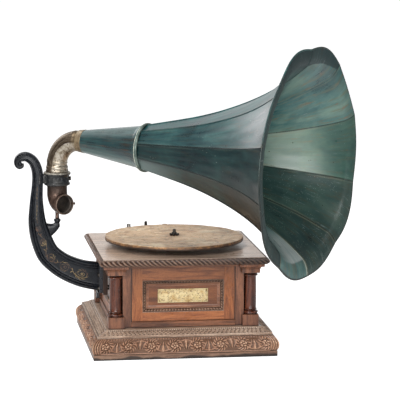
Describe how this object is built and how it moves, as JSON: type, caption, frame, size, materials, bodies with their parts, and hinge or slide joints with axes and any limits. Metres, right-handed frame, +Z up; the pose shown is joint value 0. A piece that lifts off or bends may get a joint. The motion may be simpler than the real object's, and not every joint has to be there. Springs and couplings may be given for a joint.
{
  "type": "horn gramophone",
  "caption": "Table gramophone with a carved square oak case, a spring-driven turntable, a cast scroll bracket and a swivelling petalled metal horn.",
  "frame": {"origin": "centre of the case's underside, where it rests on the table", "axes": "+Z up, -Y out of the front panel with the plaque, -X towards the horn bracket, crank on the +Y side"},
  "size_m": [0.7207, 0.8207, 0.6748],
  "materials": {
    "oak": "worn varnish over carved oak",
    "oak_deck": "faded varnished oak",
    "oak_columns": "dark red-brown varnish, semi-gloss",
    "inner_wood": "bare, unvarnished",
    "plaque": "aged, speckled",
    "pins": "tarnished",
    "black_iron": "black japanning with worn gilt scrolls",
    "dark_steel": "dark, oily",
    "steel": "turned steel, slightly tarnished",
    "spring_steel": "blued",
    "brass": "machined, tarnished",
    "lead": "dull",
    "platter_metal": "chipped dark paint",
    "platter_cover": "worn through, stained",
    "felt": "felt",
    "nickel": "nickel plate worn to brown",
    "copper": "plating worn down to copper-brown",
    "horn_green": "aged verdigris-green enamel, rust streaks",
    "grip_wood": "polished by use"
  },
  "bodies": {
    "case": {"base_skirt": "oak", "base_carved_moulding": "oak", "base_cap_moulding": "oak", "bottom_board": "inner_wood", "corner_posts": "oak", "column_pedestals": "oak", "corner_columns": "oak_columns", "column_capitals": "oak", "panel_frames": "oak", "field_panels": "oak", "field_mouldings": "oak", "name_plate": "plaque", "name_plate_pins": "pins", "frieze_rails": "oak", "bottom_rails": "oak", "motor_board": "oak_deck", "rope_moulding": "oak", "bracket_pad": "inner_wood", "bracket_flange": "black_iron", "bracket_bolts": "dark_steel", "bracket_arm": "black_iron", "thumb_screw": "dark_steel", "crank_escutcheon": "brass", "motor_top_plate": "brass", "motor_bottom_plate": "brass", "motor_pillars": "steel", "motor_hangers": "dark_steel", "governor_bearings": "brass", "click_spring": "spring_steel", "brake_pivot": "steel"},
    "turntable": {"turntable_spindle": "steel", "worm_wheel": "brass", "turntable_platter": "platter_metal", "turntable_cover": "platter_cover", "star_nut": "dark_steel"},
    "intermediate": {"intermediate_arbor": "steel", "intermediate_wheel": "brass"},
    "barrel": {"spring_barrel": "brass", "barrel_cover": "brass", "mainspring": "spring_steel"},
    "arbor": {"barrel_arbor": "steel", "arbor_bevel": "brass"},
    "click": {"click_pawl": "steel"},
    "crank": {"winding_shaft": "steel", "crank_arm": "dark_steel"},
    "grip": {"crank_grip": "grip_wood"},
    "governor": {"governor_shaft": "steel", "governor_weights": "lead", "governor_springs": "spring_steel", "governor_disc": "brass"},
    "brake": {"brake_lever": "dark_steel", "brake_pad": "felt"},
    "regulator": {"regulator_lever": "steel"},
    "horn": {"horn_elbow": "nickel", "horn_cone": "horn_green", "horn_ring": "horn_green", "horn_petals": "horn_green", "horn_rim_wire": "horn_green"},
    "tonearm": {"tonearm_elbow": "copper"}
  },
  "joints": [
    {"name": "turntable_spin", "type": "hinge", "parent": "case", "child": "turntable", "pos_m": [0, 0, 0.233], "axis": [0, 0, 1], "continuous": true},
    {"name": "intermediate_spin", "type": "hinge", "parent": "case", "child": "intermediate", "pos_m": [0.01505, -0.02607, 0.13], "axis": [0, 0, 1], "continuous": true},
    {"name": "barrel_spin", "type": "hinge", "parent": "case", "child": "barrel", "pos_m": [0.06685, -0.0171, 0.13], "axis": [0, 0, 1], "continuous": true},
    {"name": "governor_spin", "type": "hinge", "parent": "case", "child": "governor", "pos_m": [0, 0.0292, 0.13], "axis": [1, 0, 0], "continuous": true},
    {"name": "crank_spin", "type": "hinge", "parent": "case", "child": "crank", "pos_m": [0.06685, 0.19, 0.168], "axis": [0, 1, 0], "continuous": true},
    {"name": "arbor_spin", "type": "hinge", "parent": "case", "child": "arbor", "pos_m": [0.06685, -0.0171, 0.16], "axis": [0, 0, 1], "continuous": true},
    {"name": "crank_grip_spin", "type": "hinge", "parent": "crank", "child": "grip", "pos_m": [0.06685, 0.23, 0.068], "axis": [0, 1, 0], "continuous": true},
    {"name": "click_swing", "type": "hinge", "parent": "case", "child": "click", "pos_m": [0.08785, -0.0231, 0.178], "axis": [0, 0, 1], "range_deg": [-20, 0]},
    {"name": "brake_swing", "type": "hinge", "parent": "case", "child": "brake", "pos_m": [-0.02, 0.164, 0.2235], "axis": [0, 0, 1], "range_deg": [-3, 8]},
    {"name": "regulator_swing", "type": "hinge", "parent": "case", "child": "regulator", "pos_m": [-0.086, 0.132, 0.206], "axis": [0, 0, 1], "range_deg": [-8, 0]},
    {"name": "horn_swivel", "type": "hinge", "parent": "case", "child": "horn", "pos_m": [-0.258, 0, 0.3786], "axis": [0, 0, 1], "range_deg": [-80, 150]},
    {"name": "tonearm_swivel", "type": "hinge", "parent": "case", "child": "tonearm", "pos_m": [-0.258, 0, 0.275], "axis": [0, 0, 1], "range_deg": [-30, 60]}
  ],
  "couplings": [
    {"joint": "intermediate_spin", "follows": "turntable_spin", "ratio": -0.25},
    {"joint": "barrel_spin", "follows": "turntable_spin", "ratio": 0.041667},
    {"joint": "governor_spin", "follows": "turntable_spin", "ratio": 12},
    {"joint": "arbor_spin", "follows": "crank_spin", "ratio": 0.5}
  ]
}
